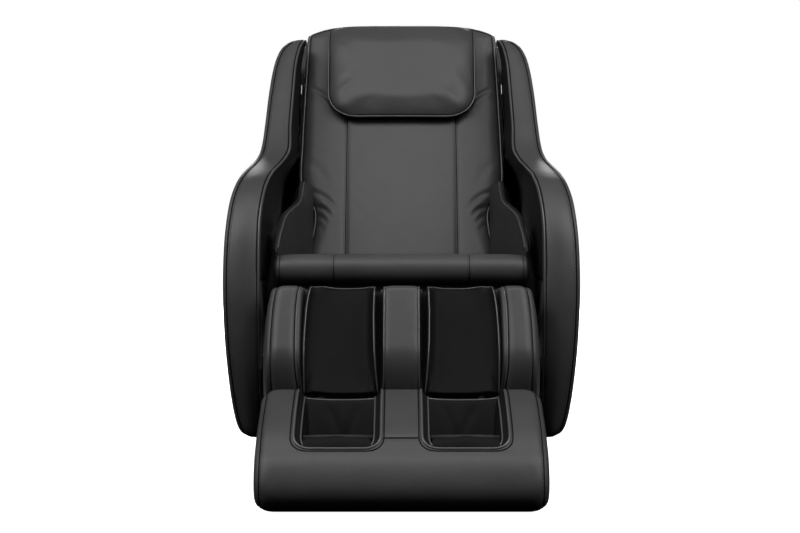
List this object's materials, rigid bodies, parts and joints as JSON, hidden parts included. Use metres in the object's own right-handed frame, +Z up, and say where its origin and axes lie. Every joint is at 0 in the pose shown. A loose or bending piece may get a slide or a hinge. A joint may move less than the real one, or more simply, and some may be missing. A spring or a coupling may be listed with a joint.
{
  "type": "massage chair",
  "caption": "Upholstered full-body massage chair with a reclining back, kneading carriage, flip-up head pillow, lifting calf rest and sliding foot unit.",
  "frame": {"origin": "on the floor, under the middle of the chair's bounding box, with the back at its upright rest and the leg rest down", "axes": "+Z up, -Y the way the sitter faces, +X to the right as seen from in front of the chair"},
  "size_m": [0.777, 1.328, 1.0572],
  "materials": {
    "leather": "satin upholstery leather, near black",
    "dark_leather": "satin upholstery leather, near black",
    "shell_plastic": "fine textured moulding",
    "frame_steel": "satin powder coat",
    "bright_steel": "turned and ground",
    "zinc_steel": "zinc plated",
    "rubber": "matte",
    "roller_plastic": "moulded elastomer",
    "board": "plywood",
    "equipment_plastic": "semi-gloss moulding",
    "sole_fabric": "knitted cloth",
    "switch_plastic": "gloss"
  },
  "bodies": {
    "base": {"rubber_feet": "rubber", "floor_frame": "frame_steel", "seat_frame": "frame_steel", "equipment_tray": "zinc_steel", "hinge_plates": "frame_steel", "hinge_pins": "zinc_steel", "arm_brackets": "frame_steel", "arm_bolts": "zinc_steel", "actuator_brackets": "frame_steel", "left_arm": "leather", "right_arm": "leather", "arm_returns": "dark_leather", "seat_board": "board", "seat_cushion": "dark_leather", "seat_front_roll": "leather", "left_hip_bolster": "dark_leather", "right_hip_bolster": "dark_leather", "rear_base_cover": "shell_plastic", "control_box": "equipment_plastic", "air_pump": "zinc_steel", "inlet_panel": "equipment_plastic", "wheel_axle": "zinc_steel", "leg_actuator_body": "equipment_plastic"},
    "power_switch": {"rocker_switch": "switch_plastic"},
    "wheel_left": {"left_wheel": "rubber"},
    "wheel_right": {"right_wheel": "rubber"},
    "backrest": {"back_frame": "frame_steel", "guide_rails": "zinc_steel", "back_cushion": "leather", "back_shell": "shell_plastic", "travel_motor": "zinc_steel"},
    "screw": {"lead_screw": "bright_steel"},
    "carriage": {"carriage_frame": "frame_steel", "carriage_runners": "equipment_plastic", "kneading_motor": "zinc_steel"},
    "kneading_drive": {"kneading_shaft": "bright_steel"},
    "arm_swing_left": {"left_massage_arm": "equipment_plastic"},
    "arm_swing_right": {"right_massage_arm": "equipment_plastic"},
    "roller_left_upper": {"left_upper_roller": "roller_plastic"},
    "roller_left_lower": {"left_lower_roller": "roller_plastic"},
    "roller_right_upper": {"right_upper_roller": "roller_plastic"},
    "roller_right_lower": {"right_lower_roller": "roller_plastic"},
    "pillow": {"head_pillow": "leather"},
    "leg_rest": {"leg_frame": "frame_steel", "left_calf_pad": "leather", "right_calf_pad": "leather", "center_calf_pad": "leather", "calf_back_pads": "dark_leather", "leg_shell": "shell_plastic"},
    "foot_unit": {"slide_rods": "bright_steel", "left_foot_pad": "leather", "right_foot_pad": "leather", "foot_divider": "leather", "toe_bumper": "leather", "sole_pads": "sole_fabric", "foot_tray": "shell_plastic"},
    "sole_roller_shaft": {"foot_rollers": "roller_plastic"},
    "back_actuator": {"back_actuator_body": "equipment_plastic"},
    "back_ram": {"back_actuator_rod": "bright_steel"},
    "leg_ram": {"leg_actuator_rod": "bright_steel"}
  },
  "joints": [
    {"name": "recline", "type": "hinge", "parent": "base", "child": "backrest", "pos_m": [0, 0.195, 0.42], "axis": [-1, 0, 0], "range_deg": [0, 40]},
    {"name": "leg_lift", "type": "hinge", "parent": "base", "child": "leg_rest", "pos_m": [0, -0.235, 0.395], "axis": [-1, 0, 0], "range_deg": [0, 70]},
    {"name": "foot_slide", "type": "slide", "parent": "leg_rest", "child": "foot_unit", "axis": [0, -0.4226, -0.9063], "range_m": [0, 0.1], "stiffness_N_per_m": 200, "springref_m": -0.45},
    {"name": "pillow_flip", "type": "hinge", "parent": "backrest", "child": "pillow", "pos_m": [0, 0.47197, 1.04741], "axis": [-1, 0, 0], "range_deg": [0, 120]},
    {"name": "carriage_travel", "type": "slide", "parent": "backrest", "child": "carriage", "axis": [0, 0.4695, 0.8829], "range_m": [-0.15, 0.26]},
    {"name": "screw_spin", "type": "hinge", "parent": "backrest", "child": "screw", "pos_m": [0, 0.40383, 0.64873], "axis": [0, 0.4695, 0.8829], "continuous": true},
    {"name": "kneading_spin", "type": "hinge", "parent": "carriage", "child": "kneading_drive", "pos_m": [0, 0.43826, 0.63043], "axis": [1, 0, 0], "continuous": true},
    {"name": "left_arm_swing", "type": "hinge", "parent": "carriage", "child": "arm_swing_left", "pos_m": [-0.104, 0.43826, 0.63043], "axis": [1, 0, 0], "range_deg": [-8, 8]},
    {"name": "right_arm_swing", "type": "hinge", "parent": "carriage", "child": "arm_swing_right", "pos_m": [0.104, 0.43826, 0.63043], "axis": [1, 0, 0], "range_deg": [-8, 8]},
    {"name": "left_upper_roller_spin", "type": "hinge", "parent": "arm_swing_left", "child": "roller_left_upper", "pos_m": [-0.078, 0.41641, 0.70434], "axis": [1, 0, 0], "continuous": true},
    {"name": "left_lower_roller_spin", "type": "hinge", "parent": "arm_swing_left", "child": "roller_left_lower", "pos_m": [-0.078, 0.36476, 0.60721], "axis": [1, 0, 0], "continuous": true},
    {"name": "right_upper_roller_spin", "type": "hinge", "parent": "arm_swing_right", "child": "roller_right_upper", "pos_m": [0.078, 0.41641, 0.70434], "axis": [1, 0, 0], "continuous": true},
    {"name": "right_lower_roller_spin", "type": "hinge", "parent": "arm_swing_right", "child": "roller_right_lower", "pos_m": [0.078, 0.36476, 0.60721], "axis": [1, 0, 0], "continuous": true},
    {"name": "sole_rollers_spin", "type": "hinge", "parent": "foot_unit", "child": "sole_roller_shaft", "pos_m": [0, -0.49975, 0.06386], "axis": [1, 0, 0], "continuous": true},
    {"name": "left_wheel_spin", "type": "hinge", "parent": "base", "child": "wheel_left", "pos_m": [-0.271, 0.405, 0.042], "axis": [1, 0, 0], "continuous": true},
    {"name": "right_wheel_spin", "type": "hinge", "parent": "base", "child": "wheel_right", "pos_m": [0.271, 0.405, 0.042], "axis": [1, 0, 0], "continuous": true},
    {"name": "power_rocker", "type": "hinge", "parent": "base", "child": "power_switch", "pos_m": [0.186, 0.437, 0.135], "axis": [1, 0, 0], "range_deg": [0, 14]},
    {"name": "back_actuator_pivot", "type": "hinge", "parent": "base", "child": "back_actuator", "pos_m": [0.07, 0, 0.13], "axis": [-1, 0, 0], "range_deg": [0, 3.28]},
    {"name": "back_ram_stroke", "type": "slide", "parent": "back_actuator", "child": "back_ram", "axis": [0, 0.7771, 0.6293], "range_m": [-0.0813, 0]},
    {"name": "leg_ram_stroke", "type": "slide", "parent": "base", "child": "leg_ram", "axis": [0, -0.711, 0.7032], "range_m": [0, 0.0714]}
  ],
  "couplings": [
    {"joint": "screw_spin", "follows": "carriage_travel", "rad_per_m": 314.16},
    {"joint": "back_actuator_pivot", "follows": "recline", "ratio": 0.08077},
    {"joint": "back_ram_stroke", "follows": "recline", "m_per_rad": -0.11567},
    {"joint": "leg_ram_stroke", "follows": "leg_lift", "m_per_rad": 0.05806}
  ]
}
